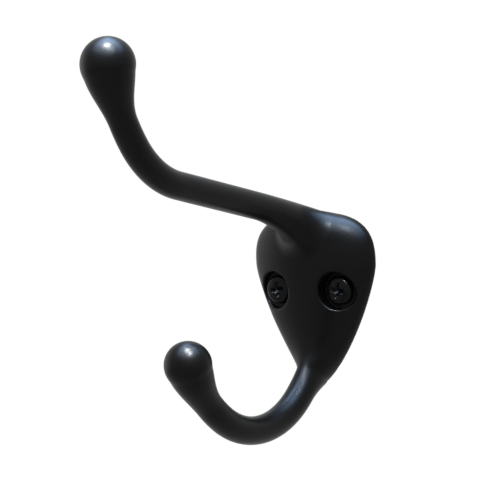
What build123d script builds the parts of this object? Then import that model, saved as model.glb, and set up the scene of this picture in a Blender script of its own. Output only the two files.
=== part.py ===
from build123d import *
import math
import os

# A wall-mounted double coat hook, cast in one piece, with its two screws.
# Millimetres. The wall is the plane y = 0, the hook reaches out along -Y and +Z is up.
# The origin lies on the flat back, midway between the two screws.
# Every casting section is symmetric about the plane x = 0.

# Plate outline on the wall, an egg with its point down
widest_height = 7.4
arch_height = 13.85
arch_squareness = 2.75
tail_length = 34.2
tail_taper = 1.27
tail_fullness = 0.7

# Plate dome in front of the wall
dome_depth = 7.6
dome_lean = 0.09

# Lower hook, round in section, bent about the cradle's centre and more gently up to its ball
cradle_y = -29.1
cradle_z = -7.95
cradle_bend = 27.65
lower_radius = 3.85
lower_end_bend = 38.0
lower_ball_y = -57.95
lower_ball_z = -14.9
lower_ball_radius = 6.35
lower_neck = 14.5
lower_neck_end = 6.05
root_web = 15.0
root_fairing = 2.0

# Upper arm, round in section, straight to an elbow and bent more gently up to its ball
arm_height = 18.85
arm_slope = 12.3
arm_radius = 3.75
elbow_bend = 28.0
riser_bend = 49.0
riser_lean = 9.5
upper_ball_y = -84.0
upper_ball_z = 63.1
upper_ball_radius = 7.05
upper_neck = 15.5
upper_neck_end = 6.75

# Arm root, where the arm deepens and widens into the plate
root_length = 27.0
root_drop = 11.3
root_spread = 2.8
root_sag = 0.6
root_fillet = 8.0
ball_fillet = 12.0

# Screw holes, each a counterbore with a rounded rim over a through hole
screw_spacing = 20.6
counterbore_diameter = 10.5
edge_land = 4.45
seat_thickness = 3.2
rim_rounding = 0.5
hole_clearance = 0.35

# Screws, pan head with a cross recess
shank_diameter = 4.2
core_diameter = 2.9
screw_length = 25.0
tip_length = 4.0
head_diameter = 8.0
head_height = 2.3
head_rounding = 1.2
recess_span = 4.4
recess_slot = 1.0
recess_depth = 1.5
recess_turn = 8.0

# The plate is as wide as its two counterbores and the land outside them
plate_half_width = (screw_spacing + counterbore_diameter) / 2 + edge_land

# How finely the casting's lofts follow their laws
ring_points = 16
overrun = 2.0


def spread(first, last, steps):
    """Evenly spaced values from first to last, both ends included."""
    return [first + (last - first) * i / steps for i in range(steps + 1)]


def ring(y, z, angle, half_width, half_height):
    """A closed elliptical section across the plane x = 0.

    Its centre is (0, y, z) and its height lies along the direction at this angle above +Y,
    which is the casting's outer side: the wall, the top of the arm or the outside of a bend.
    """
    out = Vector(0, math.cos(angle), math.sin(angle))
    points = []
    for i in range(ring_points):
        turn = 2 * math.pi * i / ring_points
        across = Vector(half_width * math.sin(turn), 0, 0)
        points.append(Vector(0, y, z) + across + out * half_height * math.cos(turn))
    return Wire([Edge.make_spline(points, periodic=True)])


def outline(z):
    """Half-width of the plate on the wall at height z: a squarish arch above, a tapering tail below."""
    if z > widest_height:
        rise = min((z - widest_height) / arch_height, 1)
        return plate_half_width * (1 - rise**arch_squareness) ** (1 / arch_squareness)
    fall = min((widest_height - z) / tail_length, 1)
    return plate_half_width * (1 - fall**tail_taper) ** tail_fullness


def plate_ring(wall, nose, width):
    """Centre, half-width and half-height of a section that is this wide at the wall.

    The section is nearly a half ellipse on the wall where the plate is wide, and turns into the
    lower hook's round section where the plate's width runs out.
    """
    full = (width**3 + lower_radius**3) ** (1 / 3)
    lift = math.sqrt(1 - (width / full) ** 2)
    centre = (wall + lift * nose) / (1 + lift)
    return centre, full, centre - nose


def stem_radius(before_ball, radius, neck, neck_end):
    """Radius of a round limb at this distance before its ball's centre: it swells along the neck."""
    share = min(max(before_ball / neck, 0), 1)
    return radius + (neck_end - radius) * (1 + math.cos(math.pi * share)) / 2


def knob(y, z, angle, radius):
    """The ball at a limb's end, with its pole on the limb's axis."""
    axis = Vector(0, -math.sin(angle), math.cos(angle))
    upright = Vector(0, math.cos(angle), math.sin(angle))
    return Plane(origin=(0, y, z), x_dir=upright, z_dir=axis) * Sphere(radius)


def plate_and_lower_hook():
    """The plate from the top of its arch to its tail, run on round the cradle to the lower ball."""
    rings = []
    # the arch, whose sections shrink in proportion towards its top
    centre, full, height = plate_ring(0, -dome_depth - dome_lean * widest_height, plate_half_width)
    for share in (0.15, 0.3, 0.45, 0.6, 0.73, 0.85, 0.94):
        z = widest_height + arch_height * (1 - share**arch_squareness) ** (1 / arch_squareness)
        rings.append(ring(centre * share, z, 0, full * share, height * share))
    # the tapering plate, down to the level of the cradle's centre
    for z in spread(widest_height, cradle_z, 5):
        centre, full, height = plate_ring(0, -dome_depth - dome_lean * z, outline(z))
        rings.append(ring(centre, z, 0, full, height))
    # the tail, whose sections turn about the cradle's centre while the plate's width runs out
    inside = cradle_bend - lower_radius
    outside = cradle_bend + lower_radius
    tail_depth = cradle_z - widest_height + tail_length
    tail_turn = math.atan2(tail_depth, -cradle_y)
    for turn in spread(0, tail_turn, 8)[1:]:
        wall = -cradle_y / math.cos(turn)
        z = cradle_z + cradle_y * math.tan(turn)
        dome = -cradle_y - dome_depth - dome_lean * cradle_z
        dome = dome / (math.cos(turn) - dome_lean * math.sin(turn))
        overlap = max(root_fairing - abs(dome - inside), 0) / root_fairing
        nose = min(dome, inside) - root_fairing * overlap**2 / 4
        centre, full, height = plate_ring(wall, nose, outline(z))
        rings.append(cradle_ring(turn, centre, full, height))
    # the web behind the hook's root, which dies away past the tail
    tail_end = -cradle_y / math.cos(tail_turn)
    web_turn = math.radians(root_web)
    for share in (0.2, 0.45, 0.7, 1):
        back = outside + (tail_end - outside) * (1 - share) ** 2
        height = (back - inside) / 2
        rings.append(cradle_ring(tail_turn + web_turn * share, inside + height, lower_radius, height))
    # the round bend, and the gentler one that carries it on to the ball's centre
    reach = math.hypot(lower_ball_y - cradle_y, lower_ball_z - cradle_z)
    ball_turn = math.pi - math.atan2(cradle_z - lower_ball_z, cradle_y - lower_ball_y)
    slack = lower_end_bend - cradle_bend
    bend_end = ball_turn - math.acos((lower_end_bend**2 - reach**2 - slack**2) / (2 * slack * reach))
    end_y = cradle_y - slack * math.cos(bend_end)
    end_z = cradle_z + slack * math.sin(bend_end)
    last = math.pi - math.atan2(end_z - lower_ball_z, end_y - lower_ball_y)
    for turn in spread(tail_turn + web_turn, bend_end, 12)[1:]:
        before_ball = cradle_bend * (bend_end - turn) + lower_end_bend * (last - bend_end)
        radius = stem_radius(before_ball, lower_radius, lower_neck, lower_neck_end)
        rings.append(cradle_ring(turn, cradle_bend, radius, radius))
    for turn in spread(bend_end, last, 5)[1:]:
        y = end_y + lower_end_bend * math.cos(turn)
        z = end_z - lower_end_bend * math.sin(turn)
        radius = stem_radius(lower_end_bend * (last - turn), lower_radius, lower_neck, lower_neck_end)
        rings.append(ring(y, z, -turn, radius, radius))
    limb = Solid.make_loft(rings, False)
    return limb, knob(lower_ball_y, lower_ball_z, math.pi - last, lower_ball_radius)


def cradle_ring(turn, centre, half_width, half_height):
    """A section turned about the cradle's centre, this far down from the level of that centre."""
    y = cradle_y + centre * math.cos(turn)
    z = cradle_z - centre * math.sin(turn)
    return ring(y, z, -turn, half_width, half_height)


def upper_arm():
    """The arm from inside the plate, out along its slope, round the elbow and up to the upper ball."""
    slope = math.radians(arm_slope)
    last = math.radians(90 - riser_lean)
    # both bends are drawn back from the ball, so the elbow starts where its arc touches the slope
    riser_y = upper_ball_y + riser_bend * math.sin(last)
    riser_z = upper_ball_z + riser_bend * math.cos(last)
    over = (riser_z - arm_height) * math.cos(slope) + riser_y * math.sin(slope)
    rise = slope + math.acos((over - elbow_bend) / (riser_bend - elbow_bend))
    elbow_y = riser_y - (riser_bend - elbow_bend) * math.sin(rise)
    elbow_z = riser_z - (riser_bend - elbow_bend) * math.cos(rise)
    riser = riser_bend * (last - rise)
    rings = []
    # the root, in sections parallel to the wall, with its top a little under the arm's own slope
    half_height = arm_radius / math.cos(slope)
    for out in spread(-overrun, root_length, 8):
        share = (1 - out / root_length) ** 2
        top = arm_height + out * math.tan(slope) + half_height - root_sag * share
        height = half_height + root_drop * share / 2
        rings.append(ring(-out, top - height, math.pi / 2, arm_radius + root_spread * share, height))
    # the straight, in sections square to the arm
    first = -root_length - 2 * arm_radius
    for y in spread(first, elbow_y - elbow_bend * math.sin(slope), 3):
        z = arm_height - y * math.tan(slope)
        rings.append(ring(y, z, math.pi / 2 - slope, arm_radius, arm_radius))
    # the elbow
    for turn in spread(slope, rise, 7)[1:]:
        y = elbow_y - elbow_bend * math.sin(turn)
        z = elbow_z - elbow_bend * math.cos(turn)
        radius = stem_radius(riser + elbow_bend * (rise - turn), arm_radius, upper_neck, upper_neck_end)
        rings.append(ring(y, z, math.pi / 2 - turn, radius, radius))
    # the riser, up to the ball's centre
    for turn in spread(rise, last, 10)[1:]:
        y = riser_y - riser_bend * math.sin(turn)
        z = riser_z - riser_bend * math.cos(turn)
        radius = stem_radius(riser_bend * (last - turn), arm_radius, upper_neck, upper_neck_end)
        rings.append(ring(y, z, math.pi / 2 - turn, radius, radius))
    limb = Solid.make_loft(rings, False)
    return limb, knob(upper_ball_y, upper_ball_z, math.pi / 2 - last, upper_ball_radius)


def join(first, second, radius):
    """Fuses two solids and rounds the inside corner all along where their surfaces meet."""
    whole = first + second
    kept = first.edges() + second.edges()
    seam = [e for e in whole.edges() if not any(is_same_edge(e, k) for k in kept)]
    seam = [e for e in seam if e.length > radius / 4]
    return whole.fillet(radius, seam)


def is_same_edge(edge, other):
    """Whether an edge is part of another: both its ends and its middle lie on it."""
    places = [edge.position_at(share) for share in (0, 0.5, 1)]
    return all(other.distance_to(place) < 0.01 for place in places)


def hole_cutter(x):
    """A counterbore over a through hole, both square to the wall."""
    hole_radius = shank_diameter / 2 + hole_clearance
    reach = dome_depth + 2 * overrun
    bore = Cylinder(hole_radius, 2 * reach)
    recess = Cylinder(counterbore_diameter / 2, reach, align=(Align.CENTER, Align.CENTER, Align.MIN))
    recess = Pos(0, 0, seat_thickness) * recess
    return Pos(x, 0, 0) * Rot(90, 0, 0) * (bore + recess)


def casting():
    """The whole hook: both limbs joined and trimmed at the wall, then their balls and screw holes."""
    lower_limb, lower_ball = plate_and_lower_hook()
    arm, upper_ball = upper_arm()
    behind = Box(4 * plate_half_width, 4 * plate_half_width, 8 * plate_half_width)
    behind = Pos(0, 2 * plate_half_width, 0) * behind
    hook = join(lower_limb - behind, arm - behind, root_fillet)
    hook = join(hook, lower_ball, ball_fillet)
    hook = join(hook, upper_ball, ball_fillet)
    for x in (-screw_spacing / 2, screw_spacing / 2):
        hook = hook - hole_cutter(x)
    rims = [e for e in hook.edges() if is_rim(e)]
    return hook.fillet(rim_rounding, rims)


def is_rim(edge):
    """Whether an edge is the upper edge of a counterbore, on the dome."""
    bore = counterbore_diameter / 2
    places = [edge.position_at(share) for share in (0, 0.3, 0.6)]
    round_bore = all(abs(math.hypot(abs(p.X) - screw_spacing / 2, p.Z) - bore) < 0.01 for p in places)
    return round_bore and max(-p.Y for p in places) > seat_thickness + 0.01


def mounting_screw(x, turn):
    """One pan-head screw, driven home: its head on the counterbore's floor and its core in the wall."""
    head = Cylinder(head_diameter / 2, head_height, align=(Align.CENTER, Align.CENTER, Align.MIN))
    top = head.edges().sort_by(Axis.Z)[-1]
    head = fillet(top, head_rounding)
    slot = Box(recess_span, recess_slot, recess_depth, align=(Align.CENTER, Align.CENTER, Align.MAX))
    cross = Pos(0, 0, head_height) * (slot + Rot(0, 0, 90) * slot)
    head = head - Rot(0, 0, turn) * cross
    in_wall = screw_length - seat_thickness
    core_length = in_wall - tip_length
    down = (Align.CENTER, Align.CENTER, Align.MAX)
    shank = Cylinder(shank_diameter / 2, seat_thickness, align=down)
    core = Pos(0, 0, -seat_thickness) * Cylinder(core_diameter / 2, core_length, align=down)
    tip = Cone(0.2, core_diameter / 2, tip_length, align=down)
    tip = Pos(0, 0, -seat_thickness - core_length) * tip
    screw = head + shank + core + tip
    return Pos(x, -seat_thickness, 0) * Rot(90, 0, 0) * screw


hook = casting()
screws = [mounting_screw(-screw_spacing / 2, recess_turn)]
screws.append(mounting_screw(screw_spacing / 2, -recess_turn))

os.makedirs("parts", exist_ok=True)
export_step(hook, "parts/hook.step")
export_step(Compound(children=screws), "parts/mounting_screws.step")
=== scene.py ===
# %% [markdown]
# # A wall-mounted double coat hook in satin black
#
# The real object is one small casting with a long arm above, a short hook below and a
# ball on each end, fixed by two screws. The first cell loads the CAD model as a frame
# that nothing here may move. Everything that follows is in metres, in that same frame:
# the wall is the plane y = 0, the hook reaches out along -Y, and +Z is up.

import bpy
import numpy as np
from mathutils import Matrix, Vector


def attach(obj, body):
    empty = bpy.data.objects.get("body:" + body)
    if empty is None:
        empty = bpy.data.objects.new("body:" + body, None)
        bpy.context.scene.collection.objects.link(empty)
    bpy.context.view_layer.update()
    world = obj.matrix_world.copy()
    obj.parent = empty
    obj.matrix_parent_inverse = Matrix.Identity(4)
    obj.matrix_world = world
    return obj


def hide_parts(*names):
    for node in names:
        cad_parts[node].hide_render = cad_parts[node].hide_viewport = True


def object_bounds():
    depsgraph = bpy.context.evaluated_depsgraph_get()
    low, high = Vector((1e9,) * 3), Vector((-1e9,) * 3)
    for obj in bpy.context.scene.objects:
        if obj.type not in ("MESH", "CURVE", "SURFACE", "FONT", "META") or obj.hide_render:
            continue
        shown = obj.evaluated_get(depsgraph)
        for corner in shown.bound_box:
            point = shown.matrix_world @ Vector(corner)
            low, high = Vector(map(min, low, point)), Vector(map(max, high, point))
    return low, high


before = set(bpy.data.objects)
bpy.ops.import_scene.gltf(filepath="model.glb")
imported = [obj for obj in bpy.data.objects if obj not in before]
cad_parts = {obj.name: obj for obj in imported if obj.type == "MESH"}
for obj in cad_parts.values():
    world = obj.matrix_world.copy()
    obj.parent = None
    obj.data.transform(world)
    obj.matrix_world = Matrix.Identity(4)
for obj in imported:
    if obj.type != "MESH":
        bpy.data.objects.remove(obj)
cad_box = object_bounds()
MM = 0.001
print("CAD box in mm", [[round(v / MM, 1) for v in corner] for corner in cad_box])

# %% [markdown]
# ## Two helpers that every piece uses
#
# A mesh is three lists: points, faces, and which face uses which point. Blender takes
# whole arrays for all three with foreach_set, which is far quicker than adding points
# one at a time. The second helper wires shader nodes in one line each.


# %% Helpers
def put_mesh(name, points_mm, quads, triangles=None):
    """A smooth-shaded mesh object at the origin from points in mm, quads and triangles."""
    sides, sizes = [quads.ravel()], [np.full(len(quads), 4)]
    if triangles is not None:
        sides, sizes = sides + [triangles.ravel()], sizes + [np.full(len(triangles), 3)]
    loops, sizes = np.concatenate(sides), np.concatenate(sizes)
    mesh = bpy.data.meshes.new(name)
    mesh.vertices.add(len(points_mm))
    mesh.vertices.foreach_set("co", (points_mm * MM).astype(np.float32).ravel())
    mesh.loops.add(len(loops))
    mesh.loops.foreach_set("vertex_index", loops.astype(np.int32))
    mesh.polygons.add(len(sizes))
    mesh.polygons.foreach_set("loop_start", (np.cumsum(sizes) - sizes).astype(np.int32))
    mesh.update(calc_edges=True)
    mesh.validate()
    mesh.shade_smooth()
    piece = bpy.data.objects.new(name, mesh)
    bpy.context.scene.collection.objects.link(piece)
    print(name, len(points_mm), "points,", int((sizes - 2).sum()), "triangles")
    return piece


def add_node(tree, kind, links=None, **values):
    """A shader node with its settings, its input values, and links into its inputs."""
    node = tree.nodes.new(kind)
    for key, value in values.items():
        if key in node.bl_rna.properties:
            setattr(node, key, value)
        else:
            node.inputs[key.replace("_", " ")].default_value = value
    for key, source in (links or {}).items():
        tree.links.new(source, node.inputs[key])
    return node


# %% [markdown]
# ## The casting's shape, in words
#
# The plate is a dome on the wall, egg-shaped with its point down, and that point runs
# on round a bend into the lower hook. The arm above is a round bar whose root deepens
# and widens into the dome. Both end in balls. A real casting has no edge between these
# forms: each flows into the next through a fillet.
#
# Modelling each limb as a tube would leave a hard crease at every joint, and a bevel on
# such a crease is fragile. So the casting is written as a *distance field* instead: a
# function that gives, for any point in space, how far it is from the surface. Joining
# two forms with a rolling-ball fillet is then one line of arithmetic.

# %% Sizes of the casting, in mm
PLATE_HALF_WIDTH, WIDEST_HEIGHT, ARCH_HEIGHT, ARCH_SQUARENESS = 20.0, 7.4, 13.85, 2.75
TAIL_LENGTH, TAIL_TAPER, TAIL_FULLNESS, TAIL_SOFTNESS = 34.2, 1.27, 0.7, 0.05
DOME_DEPTH, DOME_LEAN, LEAN_FADE = 7.6, 0.09, 5.0
CRADLE_Y, CRADLE_Z, CRADLE_BEND, END_BEND = -29.1, -7.95, 27.65, 38.0
ROOT_WEB, ROOT_FAIRING = np.radians(15.0), 2.0
LOWER = dict(radius=3.85, neck=14.5, neck_end=6.05, ball=6.35, y=-57.95, z=-14.9)
UPPER = dict(radius=3.75, neck=15.5, neck_end=6.75, ball=7.05, y=-84.0, z=63.1)
ARM_HEIGHT, ARM_SLOPE, RISER_LEAN = 18.85, np.radians(12.3), np.radians(9.5)
ELBOW_BEND, RISER_BEND = 28.0, 49.0
ROOT_LENGTH, ROOT_DROP, ROOT_SPREAD, ROOT_SAG = 27.0, 11.3, 2.8, 0.6
ROOT_FILLET, BALL_FILLET = 8.0, 12.0
SCREW_SPACING, COUNTERBORE, BORE, SEAT, RIM_ROUNDING = 20.6, 10.5, 4.9, 3.2, 0.5
WALL_ROUNDING, POCKET_ROUNDING, BORE_ROUNDING = 0.3, 0.3, 0.15

# %% [markdown]
# ## The plate's outline and section
#
# On the wall the plate's edge is a squarish arch above its widest level and a tapering
# tail below it. Each level section is part of an ellipse, and where the plate's width
# runs out at the tail the same ellipse turns into the hook's round bar.


# %% Outline and section laws
def outline(z):
    """Half-width at height z: a superellipse above the widest level, below it the width
    times (1 - share of the tail to the power taper) to the power fullness. Adding a small
    square under the root first keeps the curve round where the taper starts."""
    rise = np.clip((z - WIDEST_HEIGHT) / ARCH_HEIGHT, 0, 1)
    fall = np.clip((WIDEST_HEIGHT - z) / TAIL_LENGTH, 0, 1)
    arch = (1 - rise**ARCH_SQUARENESS) ** (1 / ARCH_SQUARENESS)
    soft, start = (fall**2 + TAIL_SOFTNESS**2) ** (TAIL_TAPER / 2), TAIL_SOFTNESS**TAIL_TAPER
    whole = (1 + TAIL_SOFTNESS**2) ** (TAIL_TAPER / 2)
    fallen = np.minimum((soft - start) / (whole - start), 1)
    return PLATE_HALF_WIDTH * arch * (1 - fallen) ** TAIL_FULLNESS


def dome_section(wall, nose, width):
    """Centre, half-width and half-height of the ellipse that is this wide at the wall and
    reaches to the nose. Its full width is the cube root of width cubed plus radius cubed."""
    full = (width**3 + LOWER["radius"] ** 3) ** (1 / 3)
    lift = np.sqrt(np.maximum(1 - (width / full) ** 2, 0))
    centre = (wall + lift * nose) / (1 + lift)
    return centre, full, centre - nose


# %% [markdown]
# ## The necks and balls
#
# Each bar swells along its neck, and a fillet of 12 mm leads the swelling into the
# ball. Bar, fillet and ball are turned round one axis, so one list of radii against
# the distance before the ball's centre describes all three.


# %% Radius along a limb
def limb_radii(limb):
    """Distances before the ball's centre and the radius at each: the ball's circle, then an
    arc of the fillet radius that touches ball and neck, then the neck, whose radius is the
    bar's plus a swelling that follows half a wave of a cosine along it."""
    before = np.linspace(0, limb["neck"] + 1, 1500)
    share = np.minimum(before / limb["neck"], 1)
    stem = limb["radius"] + (limb["neck_end"] - limb["radius"]) * (1 + np.cos(np.pi * share)) / 2
    # the fillet's centre is its own radius off the ball and off the neck
    reach = limb["ball"] + BALL_FILLET
    along = np.linspace(0.05, 0.9, 400) * reach
    out = np.sqrt(reach**2 - along**2)
    clear = np.hypot(along[:, None] - before, out[:, None] - stem).min(1)
    centre = np.interp(0, BALL_FILLET - clear, along)
    out = np.sqrt(reach**2 - centre**2)
    arc = out - np.sqrt(np.maximum(BALL_FILLET**2 - (before - centre) ** 2, 0))
    ball = np.sqrt(np.maximum(limb["ball"] ** 2 - before**2, 0))
    on_ball = before < centre * limb["ball"] / reach
    on_neck = before > before[np.argmin(np.abs(arc - stem))]
    radii = np.where(on_ball, ball, np.where(on_neck, stem, arc))
    print("fillet centred", round(centre, 2), "mm before the ball,",
          "radius there", round(radii[on_neck][0], 2))
    return before, radii


LOWER["radii"], UPPER["radii"] = limb_radii(LOWER), limb_radii(UPPER)

# %% [markdown]
# ## The two limbs as laws of space
#
# A bar that bends is followed by its *station*: the level on the plate, then the turn
# about the centre of each bend. At its station a point lies in one elliptical section,
# and its place there, as a share of the section's size, is 1 on the surface, less inside
# and more outside. Both limbs bend tightly first and then more gently up to the ball.


# %% The plate and the lower hook
def plate_share(x, y, z):
    """Share of the level section below the widest level. Above it, every section is the widest
    one shrunk towards the wall, and shrinking share and height make a superellipse. The dome's
    lean fades out over 5 mm to either side of that level, so no crease is left there."""
    level = np.clip(z, CRADLE_Z, WIDEST_HEIGHT)
    fade = np.clip(z - WIDEST_HEIGHT + LEAN_FADE, 0, 2 * LEAN_FADE)
    leaning = np.clip(z, CRADLE_Z, WIDEST_HEIGHT + LEAN_FADE) - fade**2 / (4 * LEAN_FADE)
    nose = -DOME_DEPTH - DOME_LEAN * leaning
    centre, full, height = dome_section(0, nose, outline(level))
    plate = np.hypot(x / full, (y - centre) / height)
    # the arch: solve (x / full)^2 + ((y - s centre) / height)^2 = s^2 for the shrinking s
    centre, full, height = dome_section(0, nose, PLATE_HALF_WIDTH)
    a, b = 1 - (centre / height) ** 2, y * centre / height**2
    shrink = (np.sqrt(b * b + a * ((x / full) ** 2 + (y / height) ** 2)) - b) / a
    rise = np.maximum(z - WIDEST_HEIGHT, 0) / ARCH_HEIGHT
    arch = np.maximum(shrink, 0) ** ARCH_SQUARENESS + rise**ARCH_SQUARENESS
    return np.where(z > WIDEST_HEIGHT, arch ** (1 / ARCH_SQUARENESS), plate)


def lower_limb(p):
    """Share of the section at the point's station, less 1: level sections on the plate, then
    sections that turn about the cradle's centre, then about the centre of the wider end bend."""
    x, y, z = p.T
    turn = np.arctan2(CRADLE_Z - z, y - CRADLE_Y)
    reach = np.hypot(CRADLE_Z - z, y - CRADLE_Y)
    inside, outside = CRADLE_BEND - LOWER["radius"], CRADLE_BEND + LOWER["radius"]
    # the plate's tail, from the cradle's level to where the outline ends
    tail_turn = np.arctan2(CRADLE_Z - WIDEST_HEIGHT + TAIL_LENGTH, -CRADLE_Y)
    t = np.clip(turn, 0, tail_turn)
    dome = (-CRADLE_Y - DOME_DEPTH - DOME_LEAN * CRADLE_Z) / (np.cos(t) - DOME_LEAN * np.sin(t))
    overlap = np.maximum(ROOT_FAIRING - np.abs(dome - inside), 0) / ROOT_FAIRING
    nose = np.minimum(dome, inside) - ROOT_FAIRING * overlap**2 / 4
    width = outline(CRADLE_Z + CRADLE_Y * np.tan(t))
    centre, full, height = dome_section(-CRADLE_Y / np.cos(t), nose, width)
    # the web behind the root, which dies away past the tail
    share = np.clip((turn - tail_turn) / ROOT_WEB, 0, 1)
    back = outside + (-CRADLE_Y / np.cos(tail_turn) - outside) * (1 - share) ** 2
    # the wider end bend, whose centre lies on one line with the cradle's where the bends meet
    span, slack = np.hypot(LOWER["y"] - CRADLE_Y, LOWER["z"] - CRADLE_Z), END_BEND - CRADLE_BEND
    ball_turn = np.pi - np.arctan2(CRADLE_Z - LOWER["z"], CRADLE_Y - LOWER["y"])
    end = ball_turn - np.arccos((END_BEND**2 - span**2 - slack**2) / (2 * slack * span))
    end_y, end_z = CRADLE_Y - slack * np.cos(end), CRADLE_Z + slack * np.sin(end)
    last = np.pi - np.arctan2(end_z - LOWER["z"], end_y - LOWER["y"])
    end_turn = np.arctan2(end_z - z, y - end_y) % (2 * np.pi)
    on_cradle = END_BEND * (last - end) + CRADLE_BEND * (end - turn)
    before = np.where(turn > end, END_BEND * (last - end_turn), on_cradle)
    reach = np.where(turn > end, np.hypot(end_z - z, y - end_y) - slack, reach)
    radius = np.interp(before, *LOWER["radii"])
    webbed, bar = turn > tail_turn, turn > tail_turn + ROOT_WEB
    full = np.where(webbed, radius, full)
    height = np.where(bar, radius, np.where(webbed, (back - inside) / 2, height))
    centre = np.where(bar, CRADLE_BEND, np.where(webbed, (back + inside) / 2, centre))
    limb = np.hypot(x / full, (reach - centre) / height)
    to_ball = np.sqrt(x**2 + (y - LOWER["y"]) ** 2 + (z - LOWER["z"]) ** 2) / LOWER["ball"]
    limb = np.where(bar & (before < 0), to_ball, limb)
    return np.where(z > CRADLE_Z, plate_share(x, y, z), limb) - 1


# %% The upper arm
def upper_limb(p):
    """Share of the section, less 1: upright sections on the root and the straight, whose root
    deepens and widens with the square of the way to the wall, then sections that turn about
    the elbow's centre, then about the centre of the riser's wider bend."""
    x, y, z = p.T
    last = np.pi / 2 - RISER_LEAN
    riser_y = UPPER["y"] + RISER_BEND * np.sin(last)
    riser_z = UPPER["z"] + RISER_BEND * np.cos(last)
    over = (riser_z - ARM_HEIGHT) * np.cos(ARM_SLOPE) + riser_y * np.sin(ARM_SLOPE)
    rise = ARM_SLOPE + np.arccos((over - ELBOW_BEND) / (RISER_BEND - ELBOW_BEND))
    elbow_y = riser_y - (RISER_BEND - ELBOW_BEND) * np.sin(rise)
    elbow_z = riser_z - (RISER_BEND - ELBOW_BEND) * np.cos(rise)
    # the root and the straight
    half = UPPER["radius"] / np.cos(ARM_SLOPE)
    share = np.maximum(1 + y / ROOT_LENGTH, 0) ** 2
    height = half + ROOT_DROP * share / 2
    centre = ARM_HEIGHT - y * np.tan(ARM_SLOPE) + half - height - ROOT_SAG * share
    root = np.hypot(x / (UPPER["radius"] + ROOT_SPREAD * share), (z - centre) / height)
    # the elbow and the riser
    turn, above = np.arctan2(elbow_y - y, elbow_z - z), np.arctan2(riser_y - y, riser_z - z)
    before = RISER_BEND * (last - np.where(turn > rise, above, rise))
    before = before + ELBOW_BEND * np.maximum(rise - turn, 0)
    elbow_off = np.hypot(elbow_y - y, elbow_z - z) - ELBOW_BEND
    riser_off = np.hypot(riser_y - y, riser_z - z) - RISER_BEND
    off = np.where(turn > rise, riser_off, elbow_off)
    bar = np.hypot(x, off) / np.interp(before, *UPPER["radii"])
    to_ball = np.sqrt(x**2 + (y - UPPER["y"]) ** 2 + (z - UPPER["z"]) ** 2) / UPPER["ball"]
    bar = np.where(before < 0, to_ball, bar)
    return np.where(turn > ARM_SLOPE, bar, root) - 1


# %% [markdown]
# ## From a share to a distance, and from two distances to a fillet
#
# Dividing a share by its slope turns it into a distance in mm. A ball of radius R that
# rolls along two surfaces has its centre R away from both, so a point's distance to
# that centre says where the fillet is. Turning both fields inside out first gives a
# rounded outer edge instead, and cutting a hole is the same sum with the hole turned
# inside out.


# %% Distances, fillets and cuts
def distance(law, p, step=0.01):
    """Distance to the law's surface and the direction away from it: the law's value over
    its slope, with the slope from values a small step to either side."""
    slope = np.empty_like(p)
    for axis in range(3):
        shift = np.zeros(3)
        shift[axis] = step
        slope[:, axis] = (law(p + shift) - law(p - shift)) / (2 * step)
    steep = np.maximum(np.linalg.norm(slope, axis=1), 1e-3)
    return law(p) / steep, slope / steep[:, None]


def join(first, second, radius):
    """The union of two fields with a rolling-ball fillet. With a and b the radius less each
    distance and c the cosine between the two directions, the ball's centre is
    sqrt((a^2 + b^2 - 2abc) / (1 - c^2)) away, wherever it lies between the directions."""
    (d1, n1), (d2, n2) = first, second
    c = np.clip((n1 * n2).sum(1), -0.9999, 0.9999)
    a, b, s = radius - d1, radius - d2, 1 - c * c
    away = np.sqrt(np.maximum(a * a + b * b - 2 * a * b * c, 1e-12) / s)
    along1, along2 = (a - c * b) / s, (b - c * a) / s
    rolled = (along1 > 0) & (along2 > 0)
    nearer = d1 < d2
    value = np.where(rolled, radius - away, np.where(nearer, d1, d2))
    fillet = (along1[:, None] * n1 + along2[:, None] * n2) / away[:, None]
    return value, np.where(rolled[:, None], fillet, np.where(nearer[:, None], n1, n2))


def turned(field):
    """The same surface with inside and outside exchanged."""
    return -field[0], -field[1]


def cut(body, tool, radius):
    """The body without the tool, its new edge rounded to the radius."""
    return turned(join(turned(body), tool, radius))


# %% The whole casting as one field
def casting(p):
    """The two limbs joined, cut flat at the wall, then counterbored and bored for the screws.
    A bore's field is the distance from its axis, less its radius."""
    whole = join(distance(lower_limb, p), distance(upper_limb, p), ROOT_FILLET)
    wall = np.broadcast_to([0.0, -1.0, 0.0], p.shape)
    whole = cut(whole, (-p[:, 1], wall), WALL_ROUNDING)
    x = np.abs(p[:, 0]) - SCREW_SPACING / 2
    out = np.maximum(np.hypot(x, p[:, 2]), 1e-6)
    square = np.stack([np.sign(p[:, 0]) * x / out, 0 * x, p[:, 2] / out], 1)
    floor = (-p[:, 1] - SEAT, wall)
    pocket = turned(join(floor, turned((out - COUNTERBORE / 2, square)), POCKET_ROUNDING))
    whole = cut(whole, pocket, RIM_ROUNDING)
    return cut(whole, (out - BORE / 2, square), BORE_ROUNDING)


# %% [markdown]
# ## From the field to a mesh
#
# The field is sampled on a grid. Each little cell that the surface passes through gets
# one point, and neighbouring cells are joined by quads, which is known as a surface
# net. The field then says how far each point is off the surface and in which direction,
# so four small moves bring it there, and the cell prints how far off the worst point
# still is. The field gives the normals too, so the net's own small facets don't show in
# a highlight. A voxel remesh would keep the facets of whatever it was made from.


# %% Sample the field
# a block counts as near within this many of its own widths; the rest count as this far out, in mm
NEAR_BLOCKS, FAR_OUTSIDE, SAMPLES_AT_ONCE = 1.7, 9.0, 200000


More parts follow.
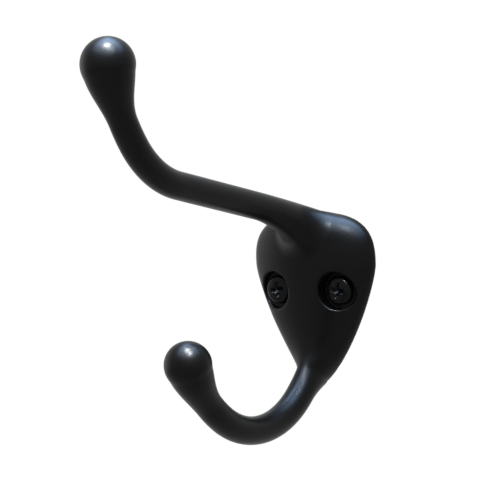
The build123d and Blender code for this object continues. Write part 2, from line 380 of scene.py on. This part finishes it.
def sample(field, low, high, step, block=5):
    """Field values on a grid symmetric about x = 0. A coarse look, one value per block, finds
    where the surface is near, and only those blocks are worked out in full."""
    counts = [int(np.ceil((h - l) / (step * block))) for l, h in zip(low, high)]
    shape = [n * block for n in counts]
    origin = np.array([step / 2, low[1], low[2]])
    coarse = np.meshgrid(*[np.arange(n) for n in counts], indexing="ij")
    coarse = np.stack(coarse, -1).reshape(-1, 3)
    middle = origin + (coarse * block + (block - 1) / 2) * step
    near = field(middle)[0] < block * step * NEAR_BLOCKS
    fine = np.stack(np.meshgrid(*[np.arange(block)] * 3, indexing="ij"), -1).reshape(-1, 3)
    cells = (coarse[near][:, None] * block + fine).reshape(-1, 3)
    values = np.full(shape, FAR_OUTSIDE)
    for part in np.array_split(cells, max(len(cells) // SAMPLES_AT_ONCE, 1)):
        values[tuple(part.T)] = field(origin + part * step)[0]
    print(len(cells), "samples out of", int(np.prod(shape)))
    values = np.concatenate([values[::-1], values])
    return values, np.array([-origin[0] - (shape[0] - 1) * step, origin[1], origin[2]])


# %% Join the cells into a net
def surface_net(values, origin, step):
    """Points at the mean of where the surface crosses each cell's edges, and one quad round
    every grid edge that the surface crosses, wound so that it faces outwards."""
    inside = values < 0
    size = np.array(values.shape) - 1
    corner = lambda a, o: a[o[0]:o[0] + size[0], o[1]:o[1] + size[1], o[2]:o[2] + size[2]]
    corners = np.array([[i, j, k] for i in (0, 1) for j in (0, 1) for k in (0, 1)])
    filled = sum(corner(inside, o).astype(np.int8) for o in corners)
    cells = np.argwhere((filled > 0) & (filled < 8))
    number = np.full(size, -1)
    number[tuple(cells.T)] = np.arange(len(cells))
    total, count = np.zeros((len(cells), 3)), np.zeros(len(cells))
    for axis in range(3):
        for o in corners[corners[:, axis] == 0]:
            first, last = cells + o, cells + o + np.eye(3, dtype=int)[axis]
            v0, v1 = values[tuple(first.T)], values[tuple(last.T)]
            hit = (v0 < 0) != (v1 < 0)
            part = np.where(hit, v0 / np.where(hit, v0 - v1, 1), 0)
            total[hit] += (o + part[:, None] * np.eye(3)[axis])[hit]
            count[hit] += 1
    points = origin + (cells + total / count[:, None]) * step
    quads = []
    for axis in range(3):
        step_on = np.eye(3, dtype=int)[axis]
        b, c = np.eye(3, dtype=int)[(axis + 1) % 3], np.eye(3, dtype=int)[(axis + 2) % 3]
        here = inside[tuple(slice(0, n - s) for n, s in zip(inside.shape, step_on))]
        there = inside[tuple(slice(s, n) for n, s in zip(inside.shape, step_on))]
        edges = np.argwhere(here != there)
        round_edge = [number[tuple((edges - o).T)] for o in (0 * b, b, b + c, c)]
        quad = np.stack(round_edge, 1)
        leaves = here[tuple(edges.T)]
        quads.append(np.where(leaves[:, None], quad, quad[:, ::-1]))
    return points, np.concatenate(quads)


# %% Make the casting
NET_STEP, MARGIN, MOVES = 0.4, 2, 4
low, high = [v / MM for v in cad_box[0]], [v / MM for v in cad_box[1]]
near_corner = [0, low[1] - MARGIN, low[2] - MARGIN]
far_corner = [high[0] + MARGIN, MARGIN, high[2] + MARGIN]
values, origin = sample(casting, near_corner, far_corner, NET_STEP)
points, quads = surface_net(values, origin, NET_STEP)
for _ in range(MOVES):
    away, direction = casting(points)
    points = points - away[:, None] * direction
away, direction = casting(points)
print("largest distance left, mm:", float(np.abs(away).max()))
hook = put_mesh("coat_hook_casting", points, quads)
direction = direction / np.linalg.norm(direction, axis=1)[:, None]
hook.data.normals_split_custom_set_from_vertices(direction)
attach(hook, "root")
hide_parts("hook")

# %% [markdown]
# ## The screws
#
# Two pan-head screws with a cross recess hold the hook. A screw is turned on a lathe,
# so its surface is a profile carried round an axis. The recess and the thread are then
# two small changes to that surface, worked out point by point: the recess pushes points
# of the head's top down, and the thread pushes points of the core out along a helix.

# %% Sizes of a screw, in mm
HEAD_RADIUS, HEAD_HEIGHT, HEAD_ROUNDING, CROWN = 4.0, 2.3, 1.2, 0.3
RECESS_SPAN, RECESS_SLOT, RECESS_DEPTH, RECESS_TURN = 4.4, 1.0, 1.5, np.radians(8.0)
END_SLOPE, SIDE_SLOPE, CONE_SLOPE, SLOT_FLARE = 1.6, 1.3, 1.2, 0.2
SHANK, CORE, THREAD, PITCH = 2.1, 1.45, 2.1, 1.8
SCREW_LENGTH, TIP, TIP_RADIUS, PLAIN = 25.0, 4.0, 0.15, 3.2
RIDGE, THREAD_START, THREAD_RISE = 0.22, 1.0, 1.5


# %% The recess and the thread
def recess_depth(u, v):
    """Depth of the cross recess at (u, v) on the head: two slots whose walls and ends slope, so
    that they catch the light, and a cone in the middle that is deeper still."""
    def slot(a, b):
        along = (RECESS_SPAN / 2 - np.abs(a)) * END_SLOPE
        across = (RECESS_SLOT / 2 + SLOT_FLARE - np.abs(b)) * SIDE_SLOPE
        return np.clip(np.minimum(along, across), 0, RECESS_DEPTH)
    cone = RECESS_DEPTH - CONE_SLOPE * np.hypot(u, v)
    return np.maximum(np.maximum(slot(u, v), slot(v, u)), cone)


def thread_height(into_wall, angle):
    """Height of the thread over the core: a ridge that falls straight to nothing 0.22 of the
    pitch to either side of its crest. The crest is where depth over pitch less turns is
    whole. It fades in at the shank and out at the point."""
    phase = into_wall / PITCH - angle / (2 * np.pi)
    off_crest = np.abs(phase - np.round(phase)) / RIDGE
    fade_in = np.clip((into_wall - THREAD_START) / THREAD_RISE, 0, 1)
    fade_out = np.clip((SCREW_LENGTH - PLAIN - into_wall) / TIP, 0, 1)
    return (THREAD - CORE) * np.clip(1 - off_crest, 0, 1) * (fade_in * fade_out)


# %% One screw
def screw_surface(centre_x, recess_turn, around=144):
    """Profile carried round the screw's axis. The profile's rows run from the middle of the
    head's top, over its rounded edge, down its side, in to the shank and on to the point."""
    crown_end = HEAD_RADIUS - HEAD_ROUNDING
    top = np.linspace(0, crown_end, 60)[1:]
    bend = np.linspace(0, np.pi / 2, 14)[1:]
    rows = [(r, HEAD_HEIGHT - CROWN * (r / crown_end) ** 2) for r in top]
    edge = HEAD_HEIGHT - CROWN - HEAD_ROUNDING
    for a in bend:
        rows.append((crown_end + HEAD_ROUNDING * np.sin(a), edge + HEAD_ROUNDING * np.cos(a)))
    rows += [(HEAD_RADIUS, 0.12), (HEAD_RADIUS - 0.05, 0.04), (HEAD_RADIUS - 0.15, 0.0)]
    rows += [(SHANK + 0.2, 0.0), (SHANK, -0.1), (SHANK, -PLAIN + 0.3), (SHANK - 0.1, -PLAIN)]
    depth = np.linspace(0.15, SCREW_LENGTH - PLAIN - 0.1, 170)
    taper = np.clip((SCREW_LENGTH - PLAIN - depth) / TIP, 0, 1)
    rows += [(TIP_RADIUS + (CORE - TIP_RADIUS) * t, -PLAIN - d) for d, t in zip(depth, taper)]
    radius, height = np.array(rows).T
    angle = np.linspace(0, 2 * np.pi, around, endpoint=False)
    radius, angle = np.meshgrid(radius, angle, indexing="ij")
    height = np.broadcast_to(height[:, None], radius.shape).copy()
    into_wall = -PLAIN - height
    radius = radius + np.where(into_wall > 0, thread_height(into_wall, angle), 0)
    z, x = radius * np.cos(angle), radius * np.sin(angle)
    on_top = (np.arange(len(radius)) < len(top))[:, None]
    c, s = np.cos(recess_turn), np.sin(recess_turn)
    pit = recess_depth(x * c + z * s, z * c - x * s)
    height = height - np.where(on_top, pit, 0)
    y = -SEAT - height
    ring = np.stack([centre_x + x, y, z], -1).reshape(-1, 3)
    poles = [[centre_x, -SEAT - HEAD_HEIGHT + RECESS_DEPTH, 0], [centre_x, SCREW_LENGTH - SEAT, 0]]
    return np.concatenate([ring, poles]), radius.shape


def grid_faces(rows, columns):
    """Quads between neighbouring rows of a closed ring grid, and a fan of triangles from the
    ring's first row to one pole and from its last row to the other."""
    i, j = np.meshgrid(np.arange(rows - 1), np.arange(columns), indexing="ij")
    k = (j + 1) % columns
    row, after = i * columns, (i + 1) * columns
    quads = np.stack([row + j, row + k, after + k, after + j], -1)
    j = np.arange(columns)
    k, last, pole = (j + 1) % columns, (rows - 1) * columns, rows * columns
    start = np.stack([np.full(columns, pole), k, j], 1)
    end = np.stack([np.full(columns, pole + 1), last + j, last + k], 1)
    return quads.reshape(-1, 4), np.concatenate([start, end])


# %% Make both screws as one piece
left, shape = screw_surface(-SCREW_SPACING / 2, RECESS_TURN)
right, _ = screw_surface(SCREW_SPACING / 2, -RECESS_TURN)
quads, fans = grid_faces(*shape)
both = [np.concatenate([faces, faces + len(left)]) for faces in (quads, fans)]
screws = put_mesh("pan_head_screws", np.concatenate([left, right]), *both)
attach(screws, "root")
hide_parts("mounting_screws")

# %% [markdown]
# ## Finishes
#
# The casting has a baked satin coating. Close up it isn't flat: the coating dries into a
# fine orange peel. It is kept very weak here, because a stronger one made the small
# highlights sparkle. The screws are glossier. Both grains are noise at two scales, so one
# node group makes them, and each material places it with its own size and strength.
#
# The specular level is far below a real coating's 0.5, and the base colours are darker
# than the real finishes' colours. The white background shows in reflections at full strength, and
# with a real coating's level it would make the blacks much paler than the photograph's.

# %% The grain, built once
grain = bpy.data.node_groups.new("baked_grain", "ShaderNodeTree")
defaults = {"Size per m": 900.0, "Height": 0.1, "Roughness": 0.3, "Spread": 0.06}
for name, default in defaults.items():
    socket = grain.interface.new_socket(name, in_out="INPUT", socket_type="NodeSocketFloat")
    socket.default_value = default
grain.interface.new_socket("Roughness", in_out="OUTPUT", socket_type="NodeSocketFloat")
grain.interface.new_socket("Normal", in_out="OUTPUT", socket_type="NodeSocketVector")
inputs = add_node(grain, "NodeGroupInput").outputs
place = add_node(grain, "ShaderNodeTexCoord").outputs["Object"]
fine = {"Vector": place, "Scale": inputs["Size per m"]}
peel = add_node(grain, "ShaderNodeTexNoise", fine, Detail=1.0)
swirl = add_node(grain, "ShaderNodeMath", {0: inputs["Size per m"]}, operation="MULTIPLY")
swirl.inputs[1].default_value = 0.12
broad = {"Vector": place, "Scale": swirl.outputs[0]}
cloud = add_node(grain, "ShaderNodeTexNoise", broad, Detail=2.0)
around = {0: inputs["Roughness"], 1: inputs["Spread"]}
low_end = add_node(grain, "ShaderNodeMath", around, operation="SUBTRACT")
high_end = add_node(grain, "ShaderNodeMath", around, operation="ADD")
span = {"Value": cloud.outputs[0], "To Min": low_end.outputs[0], "To Max": high_end.outputs[0]}
rough = add_node(grain, "ShaderNodeMapRange", span)
rough.inputs["From Min"].default_value, rough.inputs["From Max"].default_value = 0.3, 0.7
raised = {"Height": peel.outputs[0], "Strength": inputs["Height"]}
bump = add_node(grain, "ShaderNodeBump", raised, Distance=0.0002)
ends = add_node(grain, "NodeGroupOutput")
grain.links.new(rough.outputs[0], ends.inputs["Roughness"])
grain.links.new(bump.outputs[0], ends.inputs["Normal"])
print("grain group:", len(grain.nodes), "nodes")


# %% A baked black finish
def black_finish(name, color, size, height, roughness, spread, specular):
    """A dark dielectric coating whose roughness and normal come from the grain group."""
    material = bpy.data.materials.new(name)
    material.use_nodes = True
    tree = material.node_tree
    shader = tree.nodes["Principled BSDF"]
    shader.inputs["Base Color"].default_value = (*color, 1)
    shader.inputs["Specular IOR Level"].default_value = specular
    placed = add_node(tree, "ShaderNodeGroup", node_tree=grain)
    settings = {"Size per m": size, "Height": height, "Roughness": roughness, "Spread": spread}
    for key, value in settings.items():
        placed.inputs[key].default_value = value
    tree.links.new(placed.outputs["Roughness"], shader.inputs["Roughness"])
    tree.links.new(placed.outputs["Normal"], shader.inputs["Normal"])
    return material


casting_black = black_finish("satin_black_casting", (0.004, 0.0037, 0.0033), size=900,
                             height=0.05, roughness=0.34, spread=0.03, specular=0.09)
hook.data.materials.append(casting_black)
screw_black = black_finish("black_screw_steel", (0.002, 0.002, 0.002), size=450,
                           height=0.9, roughness=0.22, spread=0.06, specular=0.1)
screws.data.materials.append(screw_black)
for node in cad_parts.values():
    node.data.materials.clear()
    node.data.materials.append(casting_black if node.name == "hook" else screw_black)
print("materials:", [m.name for m in bpy.data.materials])

# %% [markdown]
# ## The wall and the floor
#
# The photograph shows the hook against plain white, and a wall hides the ends of its
# screws. The wall here is a board whose top lies just above the plate, so that light from
# above and behind passes over it. It is white to the camera and in reflections, seen from
# the front only, so that a view from behind still shows the flat back. The floor is a
# pale plane half a metre below. It glows a little to the camera and in reflections, since
# without that it showed as a grey field in views from the side.


# %% A plane for the stage
def plane(name, corners):
    """A flat quad through four corners, in metres."""
    mesh = bpy.data.meshes.new(name)
    mesh.from_pydata(corners, [], [(0, 1, 2, 3)])
    piece = bpy.data.objects.new(name, mesh)
    bpy.context.scene.collection.objects.link(piece)
    return piece


def seen_rays(tree):
    """1 for camera, glossy and transmission rays, otherwise 0."""
    path = add_node(tree, "ShaderNodeLightPath").outputs
    pair = {0: path["Is Camera Ray"], 1: path["Is Glossy Ray"]}
    first = add_node(tree, "ShaderNodeMath", pair, operation="MAXIMUM")
    both = {0: first.outputs[0], 1: path["Is Transmission Ray"]}
    return add_node(tree, "ShaderNodeMath", both, operation="MAXIMUM").outputs[0]


SIDE, FLOOR, TOP, BEHIND, WIDE = 0.5, -0.5, 0.024, 0.0001, 4
wall = plane("wall", [(-SIDE, BEHIND, FLOOR), (SIDE, BEHIND, FLOOR),
                      (SIDE, BEHIND, TOP), (-SIDE, BEHIND, TOP)])
floor = plane("floor", [(-WIDE, -WIDE, FLOOR), (WIDE, -WIDE, FLOOR),
                        (WIDE, WIDE, FLOOR), (-WIDE, WIDE, FLOOR)])

# %% Stage materials
paper = bpy.data.materials.new("white_wall")
paper.use_nodes = True
tree = paper.node_tree
tree.nodes.clear()
glow = add_node(tree, "ShaderNodeEmission", Strength=1.0)
clear = add_node(tree, "ShaderNodeBsdfTransparent")
behind = add_node(tree, "ShaderNodeNewGeometry").outputs["Backfacing"]
front = add_node(tree, "ShaderNodeMath", {1: behind}, operation="SUBTRACT")
front.inputs[0].default_value = 1.0
both = {0: seen_rays(tree), 1: front.outputs[0]}
shown = add_node(tree, "ShaderNodeMath", both, operation="MULTIPLY")
choice = {0: shown.outputs[0], 1: clear.outputs[0], 2: glow.outputs[0]}
mix = add_node(tree, "ShaderNodeMixShader", choice)
tree.links.new(mix.outputs[0], add_node(tree, "ShaderNodeOutputMaterial").inputs["Surface"])
wall.data.materials.append(paper)

pale = bpy.data.materials.new("pale_floor")
pale.use_nodes = True
tree = pale.node_tree
plain = tree.nodes["Principled BSDF"]
plain.inputs["Base Color"].default_value = (0.8, 0.8, 0.8, 1)
plain.inputs["Roughness"].default_value = 0.9
glow = add_node(tree, "ShaderNodeEmission", {"Strength": seen_rays(tree)}, Color=(0.4, 0.4, 0.4, 1))
both = add_node(tree, "ShaderNodeAddShader", {0: plain.outputs[0], 1: glow.outputs[0]})
tree.links.new(both.outputs[0], tree.nodes["Material Output"].inputs["Surface"])
floor.data.materials.append(pale)
print("stage:", wall.name, floor.name)

# %% [markdown]
# ## Light
#
# Satin black shows what is round it more than its own colour. The soft broad highlight
# on the shoulder comes from three nested windows above, brightest where all three
# overlap, and the small sharp spot on each ball from a narrow lamp. A third narrow lamp
# is aimed at the screws. These six are seen in reflections only, since a bright plain
# lamp lit the coating's own colour and left a step of tone on the balls. Two soft windows
# and a dim world light the rest, and under them a matt colour renders darker than written.

# %% World and lamps
world = bpy.data.worlds.new("studio")
bpy.context.scene.world = world
world.use_nodes = True
tree = world.node_tree
dim = tree.nodes["Background"]
dim.inputs["Color"].default_value = (0.4, 0.4, 0.4, 1)
white = add_node(tree, "ShaderNodeBackground", Strength=1.0, Color=(1, 1, 1, 1))
choice = {0: seen_rays(tree), 1: dim.outputs[0], 2: white.outputs[0]}
mix = add_node(tree, "ShaderNodeMixShader", choice)
tree.links.new(mix.outputs[0], tree.nodes["World Output"].inputs["Surface"])


def put_light(light, place, aim, reflected_only):
    """Stands a light at a place, facing a point, both in metres. A light that is seen in
    reflections only adds no light to the coating's own colour."""
    piece = bpy.data.objects.new(light.name, light)
    facing = (Vector(aim) - Vector(place)).to_track_quat("-Z", "Y")
    piece.matrix_world = Matrix.Translation(place) @ facing.to_matrix().to_4x4()
    piece.visible_diffuse = not reflected_only
    bpy.context.scene.collection.objects.link(piece)


def window(name, place, aim, size, watts, color, reflected_only):
    """A square light with even brightness over its face, size in metres."""
    light = bpy.data.lights.new(name, "AREA")
    light.size, light.energy, light.color = size, watts, color
    put_light(light, place, aim, reflected_only)


def spot(name, place, aim, radius, watts, beam):
    """A round lamp whose beam, in degrees, reaches one small part of the hook and no more."""
    light = bpy.data.lights.new(name, "SPOT")
    light.shadow_soft_size, light.energy = radius, watts
    light.spot_size, light.spot_blend = np.radians(beam), 0.4
    put_light(light, place, aim, True)


SKY = (0.43, 0.65, 1.0)
window("window_wide", (0.07, -0.1, 0.47), (0.07, -0.1, 0), 0.64, 17, SKY, True)
window("window_middle", (0.0, -0.04, 0.46), (0, -0.04, 0), 0.36, 5, SKY, True)
window("window_bright", (-0.02, -0.02, 0.45), (-0.02, -0.02, 0), 0.22, 1.0, SKY, True)
spot("spot_on_upper_ball", (0.03, -0.12, 0.44), (0, -0.084, 0.063), 0.035, 80, 8)
spot("spot_on_lower_ball", (0.16, -0.146, 0.349), (0, -0.058, -0.015), 0.03, 48, 7)
spot("spot_on_screws", (0.05, -0.25, 0.42), (0, -0.006, -0.005), 0.02, 30, 3.3)
window("soft_left", (-0.95, -0.2, 0.08), (0, -0.02, 0), 0.7, 1.2, (0.9, 0.94, 1.0), False)
window("soft_top", (0.1, -0.5, 0.8), (0, -0.03, 0), 0.6, 4, (1, 1, 1), False)
print("lamps:", [(light.name, round(light.energy, 3)) for light in bpy.data.lights])

# %% [markdown]
# ## Camera
#
# The photograph looks from the right of the hook, about 38 degrees off square and a
# little above, and is turned slightly about the camera's own axis. The distance, 650 mm,
# was chosen and not measured.

# %% Camera
AZIMUTH, ELEVATION, ROLL, RANGE = np.radians(38.0), np.radians(3.5), np.radians(-2.4), 650.0
PX_PER_MM, ORIGIN_U, ORIGIN_V, PICTURE, SENSOR = 3.6, 318.0, 288.5, 500, 36.0
flat = np.cos(ELEVATION)
back = np.array([np.sin(AZIMUTH) * flat, -np.cos(AZIMUTH) * flat, np.sin(ELEVATION)])
level = np.array([np.cos(AZIMUTH), np.sin(AZIMUTH), 0])
upright = np.cross(back, level)
right = level * np.cos(ROLL) + upright * np.sin(ROLL)
up = -level * np.sin(ROLL) + upright * np.cos(ROLL)
eye = back * RANGE - right * (ORIGIN_U - PICTURE / 2) / PX_PER_MM
eye = eye + up * (ORIGIN_V - PICTURE / 2) / PX_PER_MM
lens = bpy.data.cameras.new("camera")
lens.sensor_width, lens.lens = SENSOR, SENSOR * PX_PER_MM * RANGE / PICTURE
lens.clip_start, lens.clip_end = 0.05, 20
camera = bpy.data.objects.new("camera", lens)
rows = [[right[i], up[i], back[i], eye[i] * MM] for i in range(3)]
camera.matrix_world = Matrix(rows + [[0, 0, 0, 1]])
bpy.context.scene.collection.objects.link(camera)
bpy.context.scene.camera = camera
print("camera at mm", eye.round(1), "lens", round(lens.lens, 1))

# %% [markdown]
# ## Finish
#
# The view transform is Standard, which adds no curve of its own.

# %% Settings
bpy.context.scene.view_settings.view_transform = "Standard"
